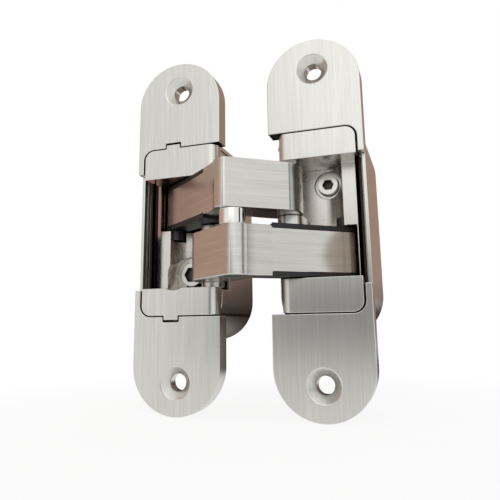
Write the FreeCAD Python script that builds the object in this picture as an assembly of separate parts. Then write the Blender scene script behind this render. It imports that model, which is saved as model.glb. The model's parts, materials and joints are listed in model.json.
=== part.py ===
import FreeCAD, Part
import math
import os
from FreeCAD import Vector

# Concealed door hinge, lying open with both leaves flat side by side.
# Millimetres. The origin is midway between the frame leaf's screws, on the back of its plates,
# which is the plane that seats in the frame.
# X runs across the leaf towards the door leaf, Y runs into the leaf, Z is up, along the door's edge.
# Every leaf piece is drawn in the frame leaf's place, back from the plates' front face at Y = 0, with the
# half that takes the sliding arm at +Z, and is set on the seat plane when it is written.
# The door leaf is the same build turned half round the Y axis and set beside it.

# Front plates and their screws
leaf_width = 28.0
leaf_height = 110.0
plate_thickness = 5.6
screw_end_distance = 9.5
screw_hole_diameter = 5.0
countersink_diameter = 9.5
mouth_height = 53.0
mouth_corner_radius = 3.4
hook_width = 1.8
hook_length = 8.0
notch_width = 5.3
notch_height = 1.6
notch_across = -1.8

# Cup behind the plates
cup_margin = 1.3
cup_end_distance = 7.5
cup_wall = 1.3
cup_depth = 35.0
boss_diameter = 9.0
boss_height = 5.5

# Places of the two leaves against each other
open_gap = 15.7
closed_gap = 5.0

# Linkage, seen from above in the frame leaf's place
centre_depth = -10.0
pivot_wall_distance = 2.0784
short_swing = 100.0
slide_pin_wall_distance = 5.4
slide_pin_depth = 12.0

# Arms
arm_split = 4.5
hub_radius = 5.3
eye_radius = 3.25
tip_radius = 3.2
limb_step = 0.5
limb_flat_lean = 37.7
limb_flat_distance = 3.8
limb_flat_length = 19.15
limb_back_radius = 10.0
short_limb_waist = 1.5
long_limb_hollow = 0.7
inner_glide_thickness = 1.4
outer_glide_thickness = 1.2
glide_start = 0.16

# Pins and bushes
centre_pin_diameter = 4.4
pivot_pin_diameter = 4.0
slide_pin_diameter = 3.4
bush_wall = 0.5
centre_bush_diameter = 7.5
slide_bush_diameter = 5.0
pivot_washer_diameter = 6.9
pivot_pin_grip = 4.6

# Carriage
cover_outer_margin = 0.5
frame_cover_setback = 1.1
door_cover_setback = 2.8
cover_edge_radius = 2.6
cover_corner_radius = 3.0
cover_gap = 0.3
slide_cover_height = 9.9
pivot_cover_height = 8.5
carriage_clearance = 0.2
ledge_depth = 8.0
block_top = 1.2
fold_pocket_wall = 5.2
fold_pocket_depth = 14.2
fold_pocket_radius = 6.2
lug_radius = 4.0
side_wall = 1.1
tab_width = 4.7
tab_height = 1.3
slot_depth = 2.8
lower_slot_depth = 3.2

# Adjusting and clamp screws, with hexagon sockets
screw_across = -1.1
screw_edge_distance = 5.1
screw_diameter = 6.2
screw_proud = 1.0
depth_head_diameter = 7.6
depth_head_length = 2.0
depth_neck_diameter = 5.0
depth_neck_length = 1.8
depth_socket_across_flats = 4.5
depth_socket_depth = 1.7
clamp_socket_across_flats = 3.0
clamp_socket_depth = 2.2
access_diameter = 11.6
door_access_diameter = 8.6
door_access_depth = 2.0
clamp_tip_gap = 0.3

# Adjustments: the frame carriage moves in and out, the door casing moves out and in sideways
depth_travel = 1.0
side_travel_out = 0.8
side_travel_in = 0.2

# Clearances
running_fit = 0.05
press_fit = 0.01
slot_fit = 0.1
swing_clearance = 0.5
side_clearance = 0.3
thread_fit = 0.08

# Worked out from the sizes above
pitch = leaf_width + open_gap
screw_spacing = leaf_height - 2 * screw_end_distance
half_mouth = mouth_height / 2
half_hook = half_mouth - hook_length
cup_height = mouth_height + 2 * cup_end_distance
slide_cover_edge = half_mouth - slide_cover_height
pivot_cover_edge = half_mouth - pivot_cover_height
screw_height = screw_edge_distance - pivot_cover_edge
half_split = arm_split / 2
arm_outer = slide_cover_edge - side_clearance
inner_glide_top = -block_top - side_clearance
inner_glide_foot = inner_glide_top - inner_glide_thickness
outer_glide_foot = -slide_cover_edge + side_clearance
outer_glide_top = outer_glide_foot + outer_glide_thickness
long_swing = 180 - short_swing
centre_open = Vector(pitch / 2, centre_depth, 0)
cup_width = leaf_width - 2 * cup_margin
cup_floor = cup_depth - cup_wall
cup_inner_width = cup_width - 2 * cup_wall
cup_inner_height = cup_height - 2 * cup_wall
cup_inner_side = cup_inner_width / 2
slide_open = Vector(slide_pin_wall_distance - cup_inner_side, slide_pin_depth, 0)
fold_pocket_across = fold_pocket_wall - cup_inner_side
screw_front = fold_pocket_depth - screw_proud
carriage_side_gap = side_travel_in + carriage_clearance
side_wall_inner = side_wall + carriage_side_gap - cup_inner_side
carriage_inner = cup_inner_side - carriage_side_gap - side_travel_out
carriage_back = cup_floor - depth_travel - carriage_clearance
cover_thickness = plate_thickness - depth_travel - cover_gap


def turned(point, centre, degrees):
    angle = math.radians(degrees)
    across = point.x - centre.x
    depth = point.y - centre.y
    new_across = across * math.cos(angle) - depth * math.sin(angle)
    new_depth = across * math.sin(angle) + depth * math.cos(angle)
    return Vector(centre.x + new_across, centre.y + new_depth, 0)


def find_pivot():
    # Turned round the pivot by the short swing, the centre pin comes to the middle of the closed gap
    across = cup_inner_side - pivot_wall_distance
    sine = math.sin(math.radians(short_swing))
    cosine = math.cos(math.radians(short_swing))
    fall = (centre_open.x - across) * sine - centre_open.y * cosine - closed_gap / 2
    return Vector(across, fall / (1 - cosine), 0)


pivot = find_pivot()


def slide_place(share):
    # Where the sliding pin is after this share of the way from open to closed
    centre = turned(centre_open, pivot, -short_swing * share)
    offset = turned(slide_open - centre_open, Vector(0, 0, 0), -long_swing * share)
    return centre + offset


def plan_prism(face, low, high):
    return face.copy().extrude(Vector(0, 0, high - low)).translate(Vector(0, 0, low))


def disc(centre, radius):
    circle = Part.makeCircle(radius, Vector(centre.x, centre.y, 0))
    return Part.Face(Part.Wire(circle))


def upright(centre, radius, low, high):
    return Part.makeCylinder(radius, high - low, Vector(centre.x, centre.y, low))


def tube(centre, outer, inner, low, high):
    return upright(centre, outer, low, high).cut(upright(centre, inner, low - 1, high + 1))


def block(x_low, x_high, y_low, y_high, z_low, z_high):
    return Part.makeBox(x_high - x_low, y_high - y_low, z_high - z_low, Vector(x_low, y_low, z_low))


def stadium(width, height, front, back):
    # A slab with half-round ends, facing along Y
    radius = width / 2
    straight = height / 2 - radius
    top_left = Vector(-radius, 0, straight)
    top_right = Vector(radius, 0, straight)
    low_right = Vector(radius, 0, -straight)
    low_left = Vector(-radius, 0, -straight)
    edges = [
        Part.Arc(top_left, Vector(0, 0, height / 2), top_right).toShape(),
        Part.makeLine(top_right, low_right),
        Part.Arc(low_right, Vector(0, 0, -height / 2), low_left).toShape(),
        Part.makeLine(low_left, top_left),
    ]
    face = Part.Face(Part.Wire(edges))
    return face.extrude(Vector(0, back - front, 0)).translate(Vector(0, front, 0))


def bored(centre_x, centre_z, radius, front, back):
    return Part.makeCylinder(radius, back - front, Vector(centre_x, front, centre_z), Vector(0, 1, 0))


def arc_or_line(start, end, bulge):
    # A side of a limb, curved outwards to the right of the way from start to end
    if abs(bulge) < 0.01:
        return Part.makeLine(start, end)
    way = end - start
    side = Vector(way.y, -way.x, 0)
    side.normalize()
    middle = (start + end) / 2 + side * bulge
    return Part.Arc(start, middle, end).toShape()


def limb_face(start, start_radius, end, end_radius, right_bulge, left_bulge):
    # Plan of a limb between two round ends, with the tangent sides curved by the bulges
    way = end - start
    length = way.Length
    lean = math.degrees(math.asin((start_radius - end_radius) / length))
    heading = math.degrees(math.atan2(way.y, way.x))

    def rim(centre, radius, angle):
        across = radius * math.cos(math.radians(angle))
        depth = radius * math.sin(math.radians(angle))
        return Vector(centre.x + across, centre.y + depth, 0)

    right = heading - 90 + lean
    left = heading + 90 - lean
    start_right = rim(start, start_radius, right)
    end_right = rim(end, end_radius, right)
    end_left = rim(end, end_radius, left)
    start_left = rim(start, start_radius, left)
    edges = [
        arc_or_line(start_right, end_right, right_bulge),
        Part.Arc(end_right, rim(end, end_radius, heading), end_left).toShape(),
        arc_or_line(end_left, start_left, left_bulge),
        Part.Arc(start_left, rim(start, start_radius, heading + 180), start_right).toShape(),
    ]
    return Part.Face(Part.Wire(edges))


def on_rim(centre, radius, towards):
    direction = Vector(towards)
    direction.normalize()
    return centre + direction * radius


def flat_point(along, beyond):
    # On the short limb's flat outer face, from beside the hub's middle towards the eye
    lean = math.radians(limb_flat_lean)
    heading = Vector(-math.cos(lean), math.sin(lean), 0)
    outward = Vector(-math.sin(lean), -math.cos(lean), 0)
    return centre_open + outward * (limb_flat_distance + beyond) + heading * along


def short_limb():
    # Plan from the hub to the eye on the frame pivot, in the open place
    # The outer side is flat from the hub to a sharp corner, then rounded back to the eye
    crease = math.sqrt(hub_radius ** 2 - limb_flat_distance ** 2)
    start = flat_point(-crease, 0)
    corner = flat_point(limb_flat_length - crease, 0)
    apart = pivot - corner
    ahead = (limb_back_radius ** 2 - (limb_back_radius - eye_radius) ** 2 + apart.Length ** 2) / (2 * apart.Length)
    aside = math.sqrt(limb_back_radius ** 2 - ahead ** 2)
    apart.normalize()
    back_centre = corner + apart * ahead + Vector(apart.y, -apart.x, 0) * aside
    to_eye = pivot - back_centre
    back_end = on_rim(pivot, eye_radius, to_eye)
    back_middle = on_rim(back_centre, limb_back_radius, corner + back_end - back_centre * 2)
    way = pivot - centre_open
    lean = math.asin((hub_radius - eye_radius) / way.Length)
    square = turned(way, Vector(0, 0, 0), math.degrees(lean) - 90)
    eye_side = on_rim(pivot, eye_radius, square)
    hub_side = on_rim(centre_open, hub_radius, square)
    edges = [
        Part.makeLine(start, corner),
        Part.Arc(corner, back_middle, back_end).toShape(),
        Part.Arc(back_end, on_rim(pivot, eye_radius, way), eye_side).toShape(),
        arc_or_line(eye_side, hub_side, -short_limb_waist),
        Part.Arc(hub_side, on_rim(centre_open, hub_radius, way * -1), start).toShape(),
    ]
    return Part.Face(Part.Wire(edges))


def long_limb():
    # Plan from the hub to the tip that slides in the door leaf, kept behind the short limb's flat face
    limb = limb_face(centre_open, hub_radius - limb_step, mirrored(slide_open), tip_radius, -long_limb_hollow, 0)
    far = leaf_width
    outline = [flat_point(-far, 0), flat_point(far, 0), flat_point(far, far), flat_point(-far, far)]
    beyond = Part.Face(Part.makePolygon(outline + outline[:1]))
    return limb.cut(beyond).Faces[0]


def mirrored(point):
    # The same place in the door leaf, seen from above
    return Vector(pitch - point.x, point.y, 0)


def to_door(shape):
    # Half a turn round Y, then across to the door leaf
    moved = shape.copy()
    moved.rotate(Vector(0, 0, 0), Vector(0, 1, 0), 180)
    moved.translate(Vector(pitch, 0, 0))
    return moved


def slot_face(grow):
    # The pin's way is an arc within a tenth of a millimetre
    start = slide_place(0)
    middle = slide_place(0.5)
    end = slide_place(1)
    way = Part.Arc(start, middle, end).toShape().Curve
    centre = way.Center
    radius = way.Radius

    def ring(point, distance):
        direction = point - centre
        direction.normalize()
        return centre + direction * distance

    def cap(point, forward):
        tangent = Vector(-(point - centre).y, (point - centre).x, 0)
        tangent.normalize()
        return point + tangent * (grow * forward)

    outer = Part.Arc(ring(start, radius + grow), ring(middle, radius + grow), ring(end, radius + grow))
    inner = Part.Arc(ring(end, radius - grow), ring(middle, radius - grow), ring(start, radius - grow))
    turn = 1 if (start - centre).cross(end - centre).z > 0 else -1
    end_cap = Part.Arc(ring(end, radius + grow), cap(end, turn), ring(end, radius - grow))
    start_cap = Part.Arc(ring(start, radius - grow), cap(start, -turn), ring(start, radius + grow))
    edges = [outer.toShape(), end_cap.toShape(), inner.toShape(), start_cap.toShape()]
    return Part.Face(Part.Wire(edges)), centre, radius


def countersunk_hole(height):
    depth = (countersink_diameter - screw_hole_diameter) / 2
    through = bored(0, height, screw_hole_diameter / 2, -1, cup_depth + 1)
    cone = Part.makeCone(
        countersink_diameter / 2, screw_hole_diameter / 2, depth, Vector(0, 0, height), Vector(0, 1, 0)
    )
    return through.fuse(cone)


def casing(notched, with_boss, side_travel):
    hook_inner = -leaf_width / 2 + hook_width
    far = leaf_width
    body = stadium(leaf_width, leaf_height, 0, plate_thickness)
    body = body.fuse(stadium(cup_width, cup_height, plate_thickness / 2, cup_depth))

    # The mouth is open on the side that faces the other leaf, and rounded into the hooks
    mouth = block(hook_inner, far, -1, plate_thickness, -half_mouth, half_mouth)
    corners = []
    for edge in mouth.Edges:
        along_y = abs(edge.tangentAt(edge.FirstParameter).y) > 0.9
        if along_y and edge.CenterOfMass.x < 0:
            corners.append(edge)
    mouth = mouth.makeFillet(mouth_corner_radius, corners)
    body = body.cut(mouth)
    body = body.cut(block(-far, far, -1, plate_thickness, -half_hook, half_hook))

    # Room for the carriage
    pocket = stadium(cup_inner_width, cup_inner_height, plate_thickness / 2, cup_floor)
    pocket = pocket.common(block(-far, far, 0, cup_floor, -half_mouth, half_mouth))
    body = body.cut(pocket)

    # The wall beside the pivot is lower, to let the eye of the arm swing past it
    # and, where the casing moves sideways, to clear the foot of the pivot pin
    relief_depth = pivot.y + max(eye_radius, lug_radius) + depth_travel + side_clearance
    relief_top = block_top + 2 * side_clearance
    relief_foot = -pivot_cover_edge - swing_clearance
    if side_travel > 0:
        relief_foot = -pivot_cover_edge - pivot_pin_grip - 2 * side_clearance
    relief = block(cup_inner_side - 1, far, 0, relief_depth, relief_foot, relief_top)
    body = body.cut(relief)

    for height in (-screw_spacing / 2, screw_spacing / 2):
        body = body.cut(countersunk_hole(height))
    if notched:
        for side in (-1, 1):
            low = side * half_mouth
            high = side * (half_mouth + notch_height)
            left = notch_across - notch_width / 2
            notch = block(left, left + notch_width, -1, plate_thickness + 1, min(low, high), max(low, high))
            body = body.cut(notch)
    if with_boss:
        boss = bored(screw_across, screw_height, boss_diameter / 2, cup_floor - boss_height, cup_floor)
        body = body.fuse(boss)
        thread = bored(
            screw_across, screw_height, screw_diameter / 2 + thread_fit, cup_floor - boss_height - 1, cup_floor
        )
        body = body.cut(thread)
    return body.removeSplitter()


def covers(setback):
    # The two plates that close the mouth above and below the arms
    half = half_mouth - cover_gap
    outer_side = -leaf_width / 2 + hook_width + cover_outer_margin
    inner_side = leaf_width / 2 - setback
    slab = block(outer_side, inner_side, 0, cover_thickness, -half, half)
    corners = []
    front_edge = []
    for edge in slab.Edges:
        middle = edge.CenterOfMass
        direction = edge.tangentAt(edge.FirstParameter)
        if abs(direction.y) > 0.9 and middle.x < 0:
            corners.append(edge)
        if abs(direction.z) > 0.9 and middle.x > 0 and middle.y < 0.1:
            front_edge.append(edge)
    slab = slab.makeFillet(cover_corner_radius, corners)
    rounding = []
    for edge in slab.Edges:
        middle = edge.CenterOfMass
        vertical = edge.Curve.TypeId == "Part::GeomLine" and abs(edge.tangentAt(0).z) > 0.9
        if vertical and middle.x > inner_side - 0.1 and middle.y < 0.1:
            rounding.append(edge)
    return slab.makeFillet(cover_edge_radius, rounding)


def fold_pocket():
    # Plan of the room in the block that the short limb folds into, rounded at its outer side
    centre = Vector(fold_pocket_across + fold_pocket_radius, fold_pocket_depth - fold_pocket_radius, 0)
    start = Vector(fold_pocket_across, centre.y, 0)
    slant = fold_pocket_radius * math.sqrt(0.5)
    middle = centre + Vector(-slant, slant, 0)
    end = Vector(centre.x, fold_pocket_depth, 0)
    back = Vector(pivot.x, fold_pocket_depth, 0)
    front = Vector(pivot.x, 0, 0)
    left = Vector(fold_pocket_across, 0, 0)
    edges = [
        Part.Arc(start, middle, end).toShape(),
        Part.makeLine(end, back),
        Part.makeLine(back, front),
        Part.makeLine(front, left),
        Part.makeLine(left, start),
    ]
    return Part.Face(Part.Wire(edges))


def swing_space():
    # Plans of the room that the short limb sweeps in the block
    far = 2 * leaf_width
    closed = short_limb().makeOffset2D(swing_clearance)
    closed.rotate(pivot, Vector(0, 0, 1), -short_swing)
    behind_eye = pivot.y + eye_radius + swing_clearance
    return [
        closed,
        fold_pocket(),
        disc(pivot, eye_radius + swing_clearance),
        block(-far, far, -far, ledge_depth, 0, 1).Faces[4],
        block(pivot.x, far, -far, behind_eye, 0, 1).Faces[4],
    ]


def carriage(cover_setback, tabbed, with_hooked_screw):
    half = half_mouth - cover_gap
    far = 2 * leaf_width
    deep_width = cup_inner_width - 2 * carriage_side_gap
    deep_height = cup_inner_height - 2 * carriage_side_gap
    body = stadium(deep_width, deep_height, cover_thickness - 0.5, carriage_back)
    body = body.common(body.translated(Vector(-side_travel_out, 0, 0)))
    body = body.common(block(-far, far, 0, carriage_back, -half, half))
    body = body.fuse(covers(cover_setback))

    # The half that takes the sliding arm is a channel closed at its outer side
    slot, arc_centre, arc_radius = slot_face(slide_bush_diameter / 2 + slot_fit)
    reach = arc_radius + tip_radius + swing_clearance
    sweep = upright(arc_centre, reach, block_top, slide_cover_edge)
    sweep = sweep.common(block(side_wall_inner, far, -far, far, block_top, slide_cover_edge))
    front = block(side_wall_inner, far, -far, arc_centre.y, block_top, slide_cover_edge)
    body = body.cut(sweep).cut(front)
    body = body.cut(block(-far, far, -far, ledge_depth, -pivot_cover_edge, slide_cover_edge))

    # The half that holds the pivot is a block, hollowed where the short limb folds in
    for face in swing_space():
        body = body.cut(plan_prism(face, -pivot_cover_edge, block_top))
    lug_bottom = -half_split + running_fit
    lug = upright(pivot, lug_radius, lug_bottom, block_top)
    rib_depth = pivot.y + eye_radius + swing_clearance + 1
    rib = block(pivot.x - lug_radius, carriage_inner, pivot.y, rib_depth, lug_bottom, block_top)
    body = body.fuse(lug).fuse(rib)

    # Slots for the sliding pin's bushes, and the pivot pin's hole
    body = body.cut(plan_prism(slot, slide_cover_edge, slide_cover_edge + slot_depth))
    body = body.cut(plan_prism(slot, block_top - lower_slot_depth, block_top))
    pin_low = -pivot_cover_edge - pivot_pin_grip
    body = body.cut(upright(pivot, pivot_pin_diameter / 2 + press_fit, pin_low, block_top + 1))

    # Screw: hooked into a slot with room for its head, or threaded right through
    if with_hooked_screw:
        head_end = screw_front + depth_head_length
        neck_end = head_end + depth_neck_length
        for radius, front_side, back_side in (
            (access_diameter / 2, 0, head_end + running_fit),
            (depth_neck_diameter / 2 + slot_fit, 0, neck_end),
            (screw_diameter / 2 + side_clearance, neck_end - running_fit, carriage_back + 1),
        ):
            body = body.cut(bored(screw_across, screw_height, radius, front_side, back_side))
            open_end = block(
                screw_across - radius, screw_across + radius, front_side, back_side, -pivot_cover_edge, screw_height
            )
            body = body.cut(open_end)
        over_boss = boss_diameter / 2 + 2 * side_clearance
        boss_room = cup_floor - boss_height - depth_travel - side_clearance
        body = body.cut(bored(screw_across, screw_height, over_boss, boss_room, carriage_back + 1))
    else:
        body = body.cut(
            bored(screw_across, screw_height, door_access_diameter / 2, 0, screw_front + door_access_depth)
        )
        body = body.cut(
            bored(screw_across, screw_height, screw_diameter / 2 + thread_fit, 0, carriage_back + 1)
        )

    if tabbed:
        for side in (-1, 1):
            low = side * (half - 1)
            high = side * (half + tab_height)
            left = notch_across - tab_width / 2
            tab = block(left, left + tab_width, 0, cover_thickness, min(low, high), max(low, high))
            body = body.fuse(tab)
    return body.removeSplitter()


def hex_prism(across_flats, depth):
    radius = across_flats / math.sqrt(3)
    points = []
    for side in range(7):
        angle = math.radians(60 * side)
        points.append(Vector(radius * math.cos(angle), 0, radius * math.sin(angle)))
    return Part.Face(Part.makePolygon(points)).extrude(Vector(0, depth, 0))


def hexagon_socket(across_flats, depth):
    socket = hex_prism(across_flats, depth + 1)
    return socket.translate(Vector(screw_across, screw_front - 1, screw_height))


def depth_screw():
    head_end = screw_front + depth_head_length
    neck_end = head_end + depth_neck_length
    body = bored(screw_across, screw_height, depth_head_diameter / 2, screw_front, head_end)
    body = body.fuse(bored(screw_across, screw_height, depth_neck_diameter / 2, head_end, neck_end))
    body = body.fuse(bored(screw_across, screw_height, screw_diameter / 2, neck_end, carriage_back))
    return body.cut(hexagon_socket(depth_socket_across_flats, depth_socket_depth)).removeSplitter()


def clamp_screw():
    end = cup_floor - clamp_tip_gap
    body = bored(screw_across, screw_height, screw_diameter / 2, screw_front, end)
    return body.cut(hexagon_socket(clamp_socket_across_flats, clamp_socket_depth))


def arm():
    # The lower arm: its eye turns in the frame leaf and its tip slides in the door leaf
    low = -arm_outer
    high = -half_split
    tip = mirrored(slide_open)
    body = plan_prism(short_limb(), low, high).fuse(plan_prism(long_limb(), low, high))
    body = body.cut(glide_strip(inner_glide_foot, high + 1))
    body = body.cut(glide_strip(low - 1, outer_glide_top))
    body = body.removeSplitter()
    bores = (
        (pivot, pivot_pin_diameter / 2 + running_fit),
        (centre_open, centre_pin_diameter / 2 + bush_wall + press_fit),
        (tip, slide_pin_diameter / 2 + press_fit),
    )
    for place, radius in bores:
        body = body.cut(upright(place, radius, low - 1, high + 1))
    return body


def glide_strip(low, high):
    # The long limb's plan from just past the hub to the tip
    reach = (mirrored(slide_open) - centre_open).Length * glide_start + hub_radius
    keep = upright(centre_open, reach, low - 1, high + 1)
    return plan_prism(long_limb(), low, high).cut(keep)


def glide(low, high):
    # A nylon strip let into the edge of the long limb
    tip = mirrored(slide_open)
    return glide_strip(low, high).cut(upright(tip, slide_pin_diameter / 2 + press_fit, low - 1, high + 1))


def hub_bush():
    # A plain bush pressed into the hub
    outer = centre_pin_diameter / 2 + bush_wall
    return tube(centre_open, outer, centre_pin_diameter / 2 + running_fit, -arm_outer, -half_split)


def pivot_pin():
    low = -pivot_cover_edge - pivot_pin_grip + 0.1
    return upright(pivot, pivot_pin_diameter / 2, low, block_top - 0.1)


def pivot_washer():
    # Carries the eye of the arm on the cover's edge
    inner = pivot_pin_diameter / 2 + running_fit
    outer = pivot_washer_diameter / 2
    return tube(pivot, outer, inner, -pivot_cover_edge + running_fit, -arm_outer - running_fit)


def slide_pin_set():
    # In the frame leaf's place: the pin of the upper arm, and its two bushes
    upper_end = slide_cover_edge + slot_depth - side_clearance
    lower_end = block_top - lower_slot_depth + side_clearance
    pin = upright(slide_open, slide_pin_diameter / 2, lower_end, upper_end)
    inner = slide_pin_diameter / 2 + press_fit
    outer = slide_bush_diameter / 2
    top = tube(slide_open, outer, inner, slide_cover_edge - side_clearance + 0.05, upper_end)
    foot = tube(slide_open, outer, inner, lower_end, block_top + side_clearance - 0.05)
    return pin, Part.makeCompound([top, foot])


def all_nodes():
    nodes = {}
    nodes["frame_casing"] = casing(True, True, 0)
    nodes["frame_carriage"] = carriage(frame_cover_setback, True, True)
    nodes["frame_depth_screw"] = depth_screw()
    nodes["frame_pivot_pin"] = pivot_pin()
    nodes["frame_pivot_washer"] = pivot_washer()
    nodes["door_casing"] = to_door(casing(False, False, side_travel_out))
    nodes["door_carriage"] = to_door(carriage(door_cover_setback, False, False))
    nodes["door_clamp_screw"] = to_door(clamp_screw())
    nodes["door_pivot_pin"] = to_door(pivot_pin())
    nodes["door_pivot_washer"] = to_door(pivot_washer())

    lower_arm = arm()
    nodes["lower_arm"] = lower_arm
    nodes["upper_arm"] = to_door(lower_arm)
    inner_glide = glide(inner_glide_foot, inner_glide_top)
    outer_glide = glide(outer_glide_foot, outer_glide_top)
    nodes["lower_arm_inner_glide"] = inner_glide
    nodes["lower_arm_outer_glide"] = outer_glide
    nodes["upper_arm_inner_glide"] = to_door(inner_glide)
    nodes["upper_arm_outer_glide"] = to_door(outer_glide)
    nodes["lower_arm_hub_bush"] = hub_bush()
    nodes["upper_arm_hub_bush"] = to_door(hub_bush())
    nodes["centre_pin"] = upright(centre_open, centre_pin_diameter / 2, -arm_outer + 0.1, arm_outer - 0.1)
    nodes["centre_bush"] = tube(
        centre_open, centre_bush_diameter / 2, centre_pin_diameter / 2 + running_fit,
        -half_split + running_fit, half_split - running_fit
    )
    upper_pin, upper_bushes = slide_pin_set()
    nodes["upper_arm_slide_pin"] = upper_pin
    nodes["upper_arm_slide_bushes"] = upper_bushes
    nodes["lower_arm_slide_pin"] = to_door(upper_pin)
    nodes["lower_arm_slide_bushes"] = to_door(upper_bushes)
    return nodes


os.makedirs("parts", exist_ok=True)
for name, shape in all_nodes().items():
    seated = shape.translated(Vector(0, -plate_thickness, 0))
    seated.exportStep("parts/" + name + ".step")
    print(name, len(seated.Solids), "solid", round(seated.Volume, 1), "mm3", "valid", seated.isValid())
print("pivot", round(pivot.x, 3), round(pivot.y, 3), "slide end", slide_place(1))
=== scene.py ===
import json
import math
import bpy
from mathutils import Matrix, Vector


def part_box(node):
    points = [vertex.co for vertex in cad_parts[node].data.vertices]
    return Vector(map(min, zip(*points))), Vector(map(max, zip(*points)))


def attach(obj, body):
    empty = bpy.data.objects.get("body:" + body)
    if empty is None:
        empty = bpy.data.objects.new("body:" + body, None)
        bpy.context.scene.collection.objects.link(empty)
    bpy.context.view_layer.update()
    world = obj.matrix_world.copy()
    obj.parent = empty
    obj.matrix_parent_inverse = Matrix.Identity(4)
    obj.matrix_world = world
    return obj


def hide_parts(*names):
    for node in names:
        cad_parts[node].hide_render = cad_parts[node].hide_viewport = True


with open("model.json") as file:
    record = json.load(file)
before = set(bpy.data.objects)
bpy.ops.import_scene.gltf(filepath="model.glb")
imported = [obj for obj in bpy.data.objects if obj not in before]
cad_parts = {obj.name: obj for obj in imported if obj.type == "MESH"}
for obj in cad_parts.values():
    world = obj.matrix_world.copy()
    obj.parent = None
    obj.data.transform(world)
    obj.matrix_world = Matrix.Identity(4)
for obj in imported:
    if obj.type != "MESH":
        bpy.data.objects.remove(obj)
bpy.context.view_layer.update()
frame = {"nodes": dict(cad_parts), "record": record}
mm = 0.001
quarterTurn = math.radians(90)
hingeMiddle = Vector((0.022, 0.0, 0.0))
print("frame loaded")


# Small helpers

def linearChannel(value):
    return value / 12.92 if value <= 0.04045 else ((value + 0.055) / 1.055) ** 2.4


def colourFromHex(text):
    channels = [int(text[i:i + 2], 16) / 255 for i in (1, 3, 5)]
    return tuple(linearChannel(channel) for channel in channels) + (1.0,)


def addNode(tree, kind, values=None, **settings):
    node = tree.nodes.new(kind)
    for key, value in settings.items():
        setattr(node, key, value)
    for socket, value in (values or {}).items():
        node.inputs[socket].default_value = value
    return node


def deselectAll():
    if bpy.context.object and bpy.context.object.mode != "OBJECT":
        bpy.ops.object.mode_set(mode="OBJECT")
    bpy.ops.object.select_all(action="DESELECT")


def makeActive(piece):
    deselectAll()
    piece.select_set(True)
    bpy.context.view_layer.objects.active = piece


# Materials, with pattern scales in cycles per millimetre of the object

def newMaterial(name):
    material = bpy.data.materials.new(name)
    material.use_nodes = True
    tree = material.node_tree
    tree.nodes.clear()
    output = addNode(tree, "ShaderNodeOutputMaterial")
    shader = addNode(tree, "ShaderNodeBsdfPrincipled")
    tree.links.new(shader.outputs["BSDF"], output.inputs["Surface"])
    return material, tree, shader


def patternCoordinates(tree, perMillimetre):
    place = addNode(tree, "ShaderNodeTexCoord")
    mapping = addNode(tree, "ShaderNodeMapping", {"Scale": [each / mm for each in perMillimetre]})
    tree.links.new(place.outputs["Object"], mapping.inputs["Vector"])
    return mapping.outputs["Vector"]


brushedLook = {
    "fineAcross": 4.0,      # real brush lines are finer still, but would not show
    "broadAcross": 0.9,
    "along": 0.05,
    "fineNoise": {"Scale": 1.0, "Detail": 3.0, "Roughness": 0.6},
    "broadNoise": {"Scale": 1.0, "Detail": 2.0, "Roughness": 0.5},
    "darkest": 0.7,
    "lightest": 1.3,
    "bump": 0.12,
    "bumpHeight": 0.012 * mm,
}


def brushedMetal(name, light, dark, roughness, across, look=brushedLook):
    # Brush lines are fine across the named axes and long along the others
    material, tree, shader = newMaterial(name)
    fineScale = [look["fineAcross"] if axis in across else look["along"] for axis in "XYZ"]
    broadScale = [look["broadAcross"] if axis in across else look["along"] for axis in "XYZ"]
    fine = addNode(tree, "ShaderNodeTexNoise", look["fineNoise"])
    broad = addNode(tree, "ShaderNodeTexNoise", look["broadNoise"])
    tree.links.new(patternCoordinates(tree, fineScale), fine.inputs["Vector"])
    tree.links.new(patternCoordinates(tree, broadScale), broad.inputs["Vector"])
    streaks = addNode(tree, "ShaderNodeMath", operation="ADD")
    tree.links.new(fine.outputs["Fac"], streaks.inputs[0])
    tree.links.new(broad.outputs["Fac"], streaks.inputs[1])
    ramp = addNode(tree, "ShaderNodeMapRange", {"From Min": look["darkest"], "From Max": look["lightest"]})
    tree.links.new(streaks.outputs[0], ramp.inputs["Value"])
    mix = addNode(tree, "ShaderNodeMix", data_type="RGBA")
    mix.inputs["A"].default_value = colourFromHex(dark)
    mix.inputs["B"].default_value = colourFromHex(light)
    tree.links.new(ramp.outputs["Result"], mix.inputs["Factor"])
    tree.links.new(mix.outputs["Result"], shader.inputs["Base Color"])
    bump = addNode(tree, "ShaderNodeBump", {"Strength": look["bump"], "Distance": look["bumpHeight"]})
    tree.links.new(fine.outputs["Fac"], bump.inputs["Height"])
    tree.links.new(bump.outputs["Normal"], shader.inputs["Normal"])
    shader.inputs["Metallic"].default_value = 1.0
    shader.inputs["Roughness"].default_value = roughness
    return material


plainLook = {
    "clouds": 0.25,
    "cloudNoise": {"Scale": 1.0, "Detail": 2.0, "Roughness": 0.5},
    "smoothest": 0.85,
    "roughest": 1.15,
}


def plainMetal(name, colour, roughness, look=plainLook):
    # The roughness wanders a little about its value
    material, tree, shader = newMaterial(name)
    cloud = addNode(tree, "ShaderNodeTexNoise", look["cloudNoise"])
    tree.links.new(patternCoordinates(tree, [look["clouds"]] * 3), cloud.inputs["Vector"])
    ends = {"To Min": roughness * look["smoothest"], "To Max": roughness * look["roughest"]}
    spread = addNode(tree, "ShaderNodeMapRange", ends)
    tree.links.new(cloud.outputs["Fac"], spread.inputs["Value"])
    tree.links.new(spread.outputs["Result"], shader.inputs["Roughness"])
    shader.inputs["Base Color"].default_value = colourFromHex(colour)
    shader.inputs["Metallic"].default_value = 1.0
    return material


plasticLook = {
    "grains": 3.0,
    "grainNoise": {"Scale": 1.0, "Detail": 2.0, "Roughness": 0.5},
    "bump": 0.15,
    "bumpHeight": 0.02 * mm,
}


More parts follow.
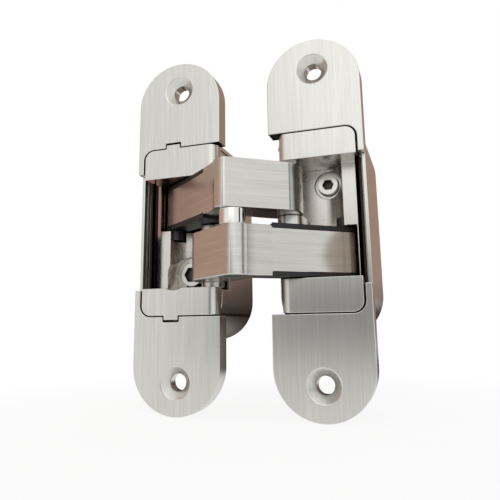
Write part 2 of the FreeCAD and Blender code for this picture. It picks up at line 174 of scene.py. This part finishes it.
def mouldedPlastic(name, colour, roughness, look=plasticLook):
    material, tree, shader = newMaterial(name)
    grain = addNode(tree, "ShaderNodeTexNoise", look["grainNoise"])
    tree.links.new(patternCoordinates(tree, [look["grains"]] * 3), grain.inputs["Vector"])
    bump = addNode(tree, "ShaderNodeBump", {"Strength": look["bump"], "Distance": look["bumpHeight"]})
    tree.links.new(grain.outputs["Fac"], bump.inputs["Height"])
    tree.links.new(bump.outputs["Normal"], shader.inputs["Normal"])
    shader.inputs["Base Color"].default_value = colourFromHex(colour)
    shader.inputs["Roughness"].default_value = roughness
    return material


finishes = {
    "brushedPlate": brushedMetal("Satin nickel brushed upright", "#D9D8D3", "#CBCAC4", 0.28, "XY"),
    "brushedArm": brushedMetal("Satin nickel brushed along the arm", "#D5D4CF", "#C6C5BF", 0.26, "Z"),
    "brightNickel": plainMetal("Bright nickel plate", "#D3D0C9", 0.27),
    "groundSteel": plainMetal("Ground steel", "#C4C2BE", 0.22),
    "polishedSteel": plainMetal("Polished steel", "#E4E2DD", 0.14),
    # Painted shade with a painted warm brown reflection, worn by the carriages' slide halves in the pocket
    "paintedPocketShade": plainMetal("Zinc with painted shade and brown reflection", "#8E7A70", 0.26),
    "satinBack": plainMetal("Satin nickel on the cast back", "#CFCDC7", 0.5),
    # Painted shade on the inner faces of the cups
    "paintedCupShade": plainMetal("Zinc with painted shade inside the cup", "#3A302B", 0.5),
    "zincSteel": plainMetal("Zinc plated steel", "#C9C7C2", 0.2),
    # Painted shade inside the screws' hex sockets
    "paintedSocketShade": plainMetal("Steel with painted shade inside a socket", "#4A4642", 0.35),
    "blackNylon": mouldedPlastic("Black moulded nylon", "#161616", 0.5),
    "darkAcetal": mouldedPlastic("Dark acetal bush", "#2A2A2A", 0.45),
}

# What each node wears: finish, edge rounding in millimetres, rounding segments
pieceLooks = {
    "frame_casing": ("brushedPlate", 0.25, 2),
    "frame_carriage": ("brightNickel", 0.2, 2),
    "frame_depth_screw": ("zincSteel", 0.12, 2),
    "frame_pivot_pin": ("groundSteel", 0.2, 2),
    "frame_pivot_washer": ("groundSteel", 0.05, 1),
    "door_casing": ("brushedPlate", 0.25, 2),
    "door_carriage": ("brightNickel", 0.2, 2),
    "door_clamp_screw": ("zincSteel", 0.12, 2),
    "door_pivot_pin": ("groundSteel", 0.2, 2),
    "door_pivot_washer": ("groundSteel", 0.05, 1),
    "lower_arm": ("brushedArm", 0.3, 3),
    "upper_arm": ("brushedArm", 0.3, 3),
    "lower_arm_inner_glide": ("blackNylon", 0.1, 1),
    "lower_arm_outer_glide": ("blackNylon", 0.1, 1),
    "upper_arm_inner_glide": ("blackNylon", 0.1, 1),
    "upper_arm_outer_glide": ("blackNylon", 0.1, 1),
    "lower_arm_hub_bush": ("darkAcetal", 0.05, 1),
    "upper_arm_hub_bush": ("darkAcetal", 0.05, 1),
    "centre_pin": ("groundSteel", 0.2, 2),
    "centre_bush": ("polishedSteel", 0.15, 2),
    "upper_arm_slide_pin": ("groundSteel", 0.2, 2),
    "lower_arm_slide_pin": ("groundSteel", 0.2, 2),
    "upper_arm_slide_bushes": ("darkAcetal", 0.1, 1),
    "lower_arm_slide_bushes": ("darkAcetal", 0.1, 1),
}


# Further finishes of a piece, on the faces that lie in a zone of its own leaf, in millimetres. The slide
# half, cup inside and socket zones wear painted shade.
zoneLooks = {
    "frame_carriage": [("brushedPlate", "cover"), ("paintedPocketShade", "slideHalf")],
    "door_carriage": [("brushedPlate", "cover"), ("paintedPocketShade", "slideHalf")],
    "frame_casing": [("paintedCupShade", "cupInside"), ("satinBack", "cupBack")],
    "door_casing": [("paintedCupShade", "cupInside"), ("satinBack", "cupBack")],
    "frame_depth_screw": [("paintedSocketShade", "socket")],
    "door_clamp_screw": [("paintedSocketShade", "socket")],
}
zoneSizes = {
    "coverBack": -1.2,
    "slideHalfFoot": 0.5,
    "cupInnerSide": 12.0,
    "mouthHalf": 26.6,
    "rimFront": -0.1,
    "cupBack": 29.2,
    "screwAcross": -1.1,
    "screwHeight": -12.9,
    "socketFront": 0.1,
    "socketDepth": 2.6,
    "socketRadius": {"frame_depth_screw": 2.68, "door_clamp_screw": 1.82},
}
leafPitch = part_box("door_casing")[1][0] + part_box("frame_casing")[0][0]


def leafPlace(nodeName, point):
    # The door leaf is the frame leaf turned half round
    if nodeName.startswith("door"):
        return Vector((leafPitch - point.x, point.y, -point.z)) / mm
    return Vector(point) / mm


def inZone(zone, place, nodeName, sizes=zoneSizes):
    if zone == "socket":
        behind = place.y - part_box(nodeName)[0][1] / mm
        away = math.hypot(place.x - sizes["screwAcross"], place.z - sizes["screwHeight"])
        return away < sizes["socketRadius"][nodeName] and sizes["socketFront"] < behind < sizes["socketDepth"]
    if zone == "cupBack":
        return place.y > sizes["cupBack"]
    if zone == "cover":
        return place.y < sizes["coverBack"]
    if zone == "slideHalf":
        return place.y >= sizes["coverBack"] and place.z > sizes["slideHalfFoot"]
    inside = abs(place.x) < sizes["cupInnerSide"] and abs(place.z) < sizes["mouthHalf"]
    return inside and place.y > sizes["rimFront"]


def bodyOfNode(nodeName):
    for body, nodes in frame["record"]["behaviour"]["bodies"].items():
        if nodeName in nodes:
            return body
    return "root"


# The corner where the face of each short limb runs into the hub is rounder than the other edges
hubCornerLook = {
    "arms": ("lower_arm", "upper_arm"),
    "angles": (40, 60),
    "edgeHeight": 8 * mm,
    "edgeLean": 0.1 * mm,
    "width": 0.85 * mm,
    "segments": 6,
}


def roundHubCorner(piece, look):
    # Called in edit mode: the one long upright edge that turns between the two angles is bevelled
    bpy.ops.mesh.select_mode(type="EDGE")
    bpy.ops.mesh.select_all(action="DESELECT")
    bpy.ops.object.mode_set(mode="OBJECT")
    mesh = piece.data
    beside = {}
    for face in mesh.polygons:
        for key in face.edge_keys:
            beside.setdefault(key, []).append(face.normal)
    for edge in mesh.edges:
        along = mesh.vertices[edge.vertices[1]].co - mesh.vertices[edge.vertices[0]].co
        normals = beside[edge.key]
        upright = abs(along.z) > look["edgeHeight"] and abs(along.x) + abs(along.y) < look["edgeLean"]
        turn = math.degrees(normals[0].angle(normals[-1], 0))
        edge.select = upright and look["angles"][0] < turn < look["angles"][1]
    bpy.ops.object.mode_set(mode="EDIT")
    bpy.ops.mesh.bevel(offset=look["width"], segments=look["segments"], affect="EDGES")
    bpy.ops.mesh.select_mode(type="VERT")


dressLook = {
    "mergeWithin": 0.002 * mm,
    "flatWithin": math.radians(0.6),
    "edgeAngle": math.radians(32),
    "spikeAbove": 0.35 * mm,
    "smoothAngle": math.radians(35),
}


def smoothFaces(piece, look=dressLook):
    # Rounded edges are smooth, and flat faces stay flat beside them
    bpy.ops.object.shade_smooth_by_angle(angle=look["smoothAngle"])
    flatten = piece.modifiers.new("flatFaces", "WEIGHTED_NORMAL")
    flatten.keep_sharp = True
    bpy.ops.object.modifier_apply(modifier=flatten.name)


def dressPiece(nodeName, finish, rounding, segments, look=dressLook):
    # A merged copy of the node with its edges rounded
    source = frame["nodes"][nodeName]
    piece = source.copy()
    piece.data = source.data.copy()
    piece.name = nodeName + "_finished"
    piece.parent = None
    bpy.context.scene.collection.objects.link(piece)
    makeActive(piece)
    bpy.ops.object.mode_set(mode="EDIT")
    bpy.ops.mesh.select_mode(type="VERT")
    bpy.ops.mesh.select_all(action="SELECT")
    bpy.ops.mesh.remove_doubles(threshold=look["mergeWithin"])
    bpy.ops.mesh.dissolve_limited(angle_limit=look["flatWithin"])
    bpy.ops.mesh.normals_make_consistent(inside=False)
    if nodeName in hubCornerLook["arms"]:
        roundHubCorner(piece, hubCornerLook)
    bpy.ops.object.mode_set(mode="OBJECT")
    bevel = piece.modifiers.new("roundedEdges", "BEVEL")
    bevel.width = rounding * mm
    bevel.segments = segments
    bevel.limit_method = "ANGLE"
    bevel.angle_limit = look["edgeAngle"]
    bevel.use_clamp_overlap = False
    bevel.miter_outer = "MITER_ARC"
    bpy.ops.object.modifier_apply(modifier=bevel.name)
    # At the thinnest edges a rounded corner can shoot out, so it goes back onto the surface
    for vertex in piece.data.vertices:
        found, place, normal, face = source.closest_point_on_mesh(vertex.co)
        if found and (place - vertex.co).length > look["spikeAbove"]:
            vertex.co = place
    smoothFaces(piece)
    piece.data.materials.clear()
    piece.data.materials.append(finishes[finish])
    for finishName, zone in zoneLooks.get(nodeName, []):
        piece.data.materials.append(finishes[finishName])
        slotNumber = len(piece.data.materials) - 1
        for face in piece.data.polygons:
            if inZone(zone, leafPlace(nodeName, face.center), nodeName):
                face.material_index = slotNumber
    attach(piece, bodyOfNode(nodeName))
    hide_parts(nodeName)
    return piece


for nodeName, (finish, rounding, segments) in pieceLooks.items():
    dressPiece(nodeName, finish, rounding, segments)
print("pieces dressed")


# Outer side of each cup, flush with the plate's edge, with a rail between the hooks of the mouth
cupSideLook = {
    "halfWidth": 14.0 * mm,
    "endCentre": 20.0 * mm,
    "railFront": -2.9 * mm,
    "railHalf": 18.45 * mm,
    "cupBack": 29.4 * mm,
    "thickness": 1.0 * mm,
    "reach": -7.0 * mm,       # how far in the rounded ends are kept
    "rounding": 0.15 * mm,
    "roundingSegments": 2,
    "edgeAngle": math.radians(50),
    "cylinderSides": 96,
    "middleBand": 0.01 * mm,
}


def selectVertices(piece, wanted):
    bpy.ops.mesh.select_all(action="DESELECT")
    bpy.ops.object.mode_set(mode="OBJECT")
    for vertex in piece.data.vertices:
        vertex.select = wanted(vertex.co)
    bpy.ops.object.mode_set(mode="EDIT")


def bisectAt(point, normal, clear=False):
    bpy.ops.mesh.select_all(action="SELECT")
    bpy.ops.mesh.bisect(plane_co=point, plane_no=normal, clear_outer=clear)


def addCupSide(name, body, look, turnedRound):
    deselectAll()
    depth = look["cupBack"] - look["railFront"]
    middle = (look["cupBack"] + look["railFront"]) / 2
    bpy.ops.mesh.primitive_cylinder_add(
        vertices=look["cylinderSides"], radius=look["halfWidth"], depth=depth, end_fill_type="NOTHING",
        location=(0, middle, 0), rotation=(quarterTurn, 0, 0))
    side = bpy.context.object
    side.name = name
    bpy.ops.object.transform_apply(location=True, rotation=True, scale=True)
    bpy.ops.object.mode_set(mode="EDIT")
    bpy.ops.mesh.select_mode(type="VERT")
    bisectAt((0, 0, 0), (0, 0, 1))
    for end in (-1, 1):
        selectVertices(side, lambda place: place.z * end > look["middleBand"])
        bpy.ops.transform.translate(value=(0, 0, end * look["endCentre"]))
    bisectAt((look["reach"], 0, 0), (1, 0, 0), clear=True)
    bisectAt((0, 0, 0), (0, 1, 0))
    for end in (-1, 1):
        bisectAt((0, 0, end * look["railHalf"]), (0, 0, 1))
    bpy.ops.mesh.select_mode(type="FACE")
    bpy.ops.mesh.select_all(action="DESELECT")
    bpy.ops.object.mode_set(mode="OBJECT")
    for face in side.data.polygons:
        face.select = face.center.y < 0 and abs(face.center.z) > look["railHalf"]
    bpy.ops.object.mode_set(mode="EDIT")
    bpy.ops.mesh.delete(type="FACE")
    bpy.ops.mesh.select_all(action="SELECT")
    bpy.ops.mesh.normals_make_consistent(inside=False)
    bpy.ops.object.mode_set(mode="OBJECT")
    if side.data.polygons[0].normal.dot(side.data.polygons[0].center * Vector((1, 0, 1))) < 0:
        side.data.flip_normals()
    wall = side.modifiers.new("wall", "SOLIDIFY")
    wall.thickness = look["thickness"]
    wall.offset = -1.0
    bpy.ops.object.modifier_apply(modifier=wall.name)
    bevel = side.modifiers.new("roundedEdges", "BEVEL")
    bevel.width = look["rounding"]
    bevel.segments = look["roundingSegments"]
    bevel.limit_method = "ANGLE"
    bevel.angle_limit = look["edgeAngle"]
    bpy.ops.object.modifier_apply(modifier=bevel.name)
    if turnedRound:
        side.rotation_euler = (0, 2 * quarterTurn, 0)
        side.location = (leafPitch, 0, 0)
        bpy.ops.object.transform_apply(location=True, rotation=True, scale=True)
    smoothFaces(side)
    side.data.materials.append(finishes["brushedPlate"])
    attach(side, body)
    return side


addCupSide("frame_casing_side", bodyOfNode("frame_casing"), cupSideLook, False)
addCupSide("door_casing_side", bodyOfNode("door_casing"), cupSideLook, True)
print("cup sides added")


# Floor, and cards beside the hinge that only its metal shows

stageLook = {
    "floorDrop": -55.05 * mm,
    "floorSize": 3.0,
    "floorColour": "#FFFFFF",
    "floorRoughness": 0.9,
    "shadowShare": 0.14,
    "shadowCore": 0.05,
    "shadowReach": 0.16,
}
# Each card fades from full at "core" of its half sizes to nothing at its edge.
# A one-sided card is clear from behind.
cardLooks = {
    "warmBack": {
        "size": (4.0, 2.6), "place": (0.0, 1.2, 0.9), "facing": "Y",
        "colour": "#AB8E80", "core": 0.9, "oneSided": False},
    "warmLeft": {
        "size": (4.4, 3.4), "place": (-1.2, 0.6, 0.6), "facing": "X",
        "colour": "#C8A593", "core": 0.45, "oneSided": False},
    "darkLow": {
        "size": (0.38, 0.1), "place": (-0.1, 0.12, -0.03), "facing": "Y",
        "colour": "#2E2320", "core": 0.9, "oneSided": False},
    "darkRight": {
        "size": (0.42, 1.6), "place": (1.2, -0.12, 0.15), "facing": "X",
        "colour": "#1E1C1A", "core": 0.5, "oneSided": False},
    "warmMouth": {
        "size": (0.016, 0.026), "place": (-0.0112, 0.002, 0.011), "facing": "X",
        "colour": "#B8968A", "core": 0.8, "oneSided": True},
    "paleMouth": {
        "size": (0.016, 0.018), "place": (0.0549, 0.001, -0.009), "facing": "-X",
        "colour": "#B5AA9E", "core": 0.8, "oneSided": True},
    "darkFloor": {
        "size": (0.5, 0.36), "place": (0.0, 0.2, -0.0545), "facing": "Z",
        "colour": "#38281F", "core": 0.6, "oneSided": False},
    "greyFront": {
        "size": (0.38, 0.25), "place": (0.02, -0.3, -0.065), "facing": "Y",
        "colour": "#101010", "core": 0.5, "oneSided": False},
}


def seenPlainly(tree):
    # 1 for what the camera sees, in itself or in metal and through glass
    path = addNode(tree, "ShaderNodeLightPath")
    cameraOrGlossy = addNode(tree, "ShaderNodeMath", operation="MAXIMUM")
    seen = addNode(tree, "ShaderNodeMath", operation="MAXIMUM")
    tree.links.new(path.outputs["Is Camera Ray"], cameraOrGlossy.inputs[0])
    tree.links.new(path.outputs["Is Glossy Ray"], cameraOrGlossy.inputs[1])
    tree.links.new(cameraOrGlossy.outputs[0], seen.inputs[0])
    tree.links.new(path.outputs["Is Transmission Ray"], seen.inputs[1])
    return seen.outputs[0]


def floorMaterial(look):
    # White to the camera, the metal and its surroundings, with a share that takes the shadow near the hinge
    material, tree, shader = newMaterial("Pale floor")
    shader.inputs["Base Color"].default_value = colourFromHex(look["floorColour"])
    shader.inputs["Roughness"].default_value = look["floorRoughness"]
    glow = addNode(tree, "ShaderNodeEmission", {"Color": colourFromHex(look["floorColour"]), "Strength": 1.0})
    place = addNode(tree, "ShaderNodeTexCoord")
    away = addNode(tree, "ShaderNodeVectorMath", operation="LENGTH")
    tree.links.new(place.outputs["Object"], away.inputs[0])
    reach = {"From Min": look["shadowCore"], "From Max": look["shadowReach"]}
    fade = {**reach, "To Min": 1 - look["shadowShare"]}
    plain = addNode(tree, "ShaderNodeMapRange", fade, interpolation_type="SMOOTHSTEP")
    tree.links.new(away.outputs["Value"], plain.inputs["Value"])
    share = addNode(tree, "ShaderNodeMath", operation="MULTIPLY")
    tree.links.new(seenPlainly(tree), share.inputs[0])
    tree.links.new(plain.outputs["Result"], share.inputs[1])
    mix = addNode(tree, "ShaderNodeMixShader")
    tree.links.new(share.outputs[0], mix.inputs["Fac"])
    tree.links.new(shader.outputs["BSDF"], mix.inputs[1])
    tree.links.new(glow.outputs["Emission"], mix.inputs[2])
    output = next(node for node in tree.nodes if node.type == "OUTPUT_MATERIAL")
    tree.links.new(mix.outputs["Shader"], output.inputs["Surface"])
    return material


def cardMaterial(name, look):
    material = bpy.data.materials.new(name)
    material.use_nodes = True
    tree = material.node_tree
    tree.nodes.clear()
    place = addNode(tree, "ShaderNodeTexCoord")
    share = addNode(tree, "ShaderNodeMapping", {"Scale": (2.0, 2.0, 2.0)})
    away = addNode(tree, "ShaderNodeVectorMath", operation="LENGTH")
    fade = addNode(tree, "ShaderNodeMapRange", {"From Min": look["core"]}, interpolation_type="SMOOTHSTEP")
    glow = addNode(tree, "ShaderNodeEmission", {"Color": colourFromHex(look["colour"]), "Strength": 1.0})
    clear = addNode(tree, "ShaderNodeBsdfTransparent")
    mix = addNode(tree, "ShaderNodeMixShader")
    hidden = addNode(tree, "ShaderNodeMath", {1: 0.0}, operation="MAXIMUM")
    output = addNode(tree, "ShaderNodeOutputMaterial")
    tree.links.new(place.outputs["Object"], share.inputs["Vector"])
    tree.links.new(share.outputs["Vector"], away.inputs[0])
    tree.links.new(away.outputs["Value"], fade.inputs["Value"])
    tree.links.new(fade.outputs["Result"], hidden.inputs[0])
    if look["oneSided"]:
        geometry = addNode(tree, "ShaderNodeNewGeometry")
        tree.links.new(geometry.outputs["Backfacing"], hidden.inputs[1])
    tree.links.new(hidden.outputs[0], mix.inputs["Fac"])
    tree.links.new(glow.outputs["Emission"], mix.inputs[1])
    tree.links.new(clear.outputs["BSDF"], mix.inputs[2])
    tree.links.new(mix.outputs["Shader"], output.inputs["Surface"])
    return material


def addPanel(name, place, rotation, scale, material):
    deselectAll()
    bpy.ops.mesh.primitive_plane_add(size=1.0, location=place, rotation=rotation)
    panel = bpy.context.object
    panel.name = name
    panel.scale = scale
    panel.data.materials.append(material)
    return panel


floorPlace = (hingeMiddle.x, 0, stageLook["floorDrop"])
floorScale = (stageLook["floorSize"], stageLook["floorSize"], 1.0)
floor = addPanel("floor", floorPlace, (0, 0, 0), floorScale, floorMaterial(stageLook))
makeActive(floor)
bpy.ops.object.transform_apply(location=False, rotation=False, scale=True)
cardTurns = {
    "X": (quarterTurn, 0, quarterTurn),
    "-X": (quarterTurn, 0, -quarterTurn),
    "Y": (quarterTurn, 0, 0),
    "Z": (0, 0, 0),
}
for cardName, look in cardLooks.items():
    scale = (look["size"][0], look["size"][1], 1.0)
    card = addPanel(cardName, look["place"], cardTurns[look["facing"]], scale, cardMaterial(cardName, look))
    card.visible_camera = False
    card.visible_diffuse = False
    card.visible_shadow = False
print("stage set")


# Light

lampLooks = {
    "frontSoftbox": {"place": (0.3, -1.3, 0.95), "size": 1.5, "power": 2.8, "colour": "#FFFFFF"},
}


def addLamp(name, look):
    deselectAll()
    bpy.ops.object.light_add(type="AREA", location=look["place"])
    lamp = bpy.context.object
    lamp.name = name
    lamp.data.shape = "SQUARE"
    lamp.data.size = look["size"]
    lamp.data.energy = look["power"]
    lamp.data.color = colourFromHex(look["colour"])[:3]
    lamp.rotation_euler = (hingeMiddle - lamp.location).to_track_quat("-Z", "Y").to_euler()
    return lamp


for lampName, lampLook in lampLooks.items():
    addLamp(lampName, lampLook)

worldLook = {"light": "#F1F1EF", "level": 0.8, "seen": "#FFFFFF"}


def buildWorld(look):
    # White to the camera and in the metal, a little under that as light
    world = bpy.data.worlds.new("studio")
    bpy.context.scene.world = world
    world.use_nodes = True
    tree = world.node_tree
    tree.nodes.clear()
    output = addNode(tree, "ShaderNodeOutputWorld")
    light = {"Color": colourFromHex(look["light"]), "Strength": look["level"]}
    room = addNode(tree, "ShaderNodeBackground", light)
    white = addNode(tree, "ShaderNodeBackground", {"Color": colourFromHex(look["seen"]), "Strength": 1.0})
    choose = addNode(tree, "ShaderNodeMixShader")
    tree.links.new(seenPlainly(tree), choose.inputs["Fac"])
    tree.links.new(room.outputs["Background"], choose.inputs[1])
    tree.links.new(white.outputs["Background"], choose.inputs[2])
    tree.links.new(choose.outputs["Shader"], output.inputs["Surface"])


buildWorld(worldLook)
print("lights on")


# Camera at the photograph's angle

cameraLook = {
    "focalPixels": 525.48,
    "framePixels": 500.0,
    "yaw": 18.636,
    "pitch": 11.561,
    "roll": 0.78,
    "across": 21.964 * mm,
    "down": -2.942 * mm,
    "distance": 161.658 * mm,
    "principalOffset": (-1.71, -31.626),
    "sensor": 36.0,
    "seatPlane": -5.6 * mm,
    "clipStart": 0.01,
}


def addCamera(look):
    yaw = math.radians(look["yaw"])
    pitch = math.radians(look["pitch"])
    roll = math.radians(look["roll"])
    forward = Vector((-math.sin(yaw) * math.cos(pitch), math.cos(yaw) * math.cos(pitch), math.sin(pitch)))
    right = Vector((math.cos(yaw), math.sin(yaw), 0))
    down = forward.cross(right)
    rolledRight = right * math.cos(roll) + down * math.sin(roll)
    rolledDown = down * math.cos(roll) - right * math.sin(roll)
    place = right * look["across"] + down * look["down"] - forward * look["distance"]
    place.y += look["seatPlane"]
    deselectAll()
    bpy.ops.object.camera_add()
    camera = bpy.context.object
    camera.data.sensor_width = look["sensor"]
    camera.data.lens = look["focalPixels"] / look["framePixels"] * look["sensor"]
    camera.data.shift_x = -look["principalOffset"][0] / look["framePixels"]
    camera.data.shift_y = look["principalOffset"][1] / look["framePixels"]
    camera.data.clip_start = look["clipStart"]
    axes = Matrix((rolledRight, -rolledDown, -forward)).transposed()
    camera.matrix_world = Matrix.Translation(place) @ axes.to_4x4()
    bpy.context.scene.camera = camera


addCamera(cameraLook)
bpy.context.scene.view_settings.view_transform = "Standard"

print("camera set")
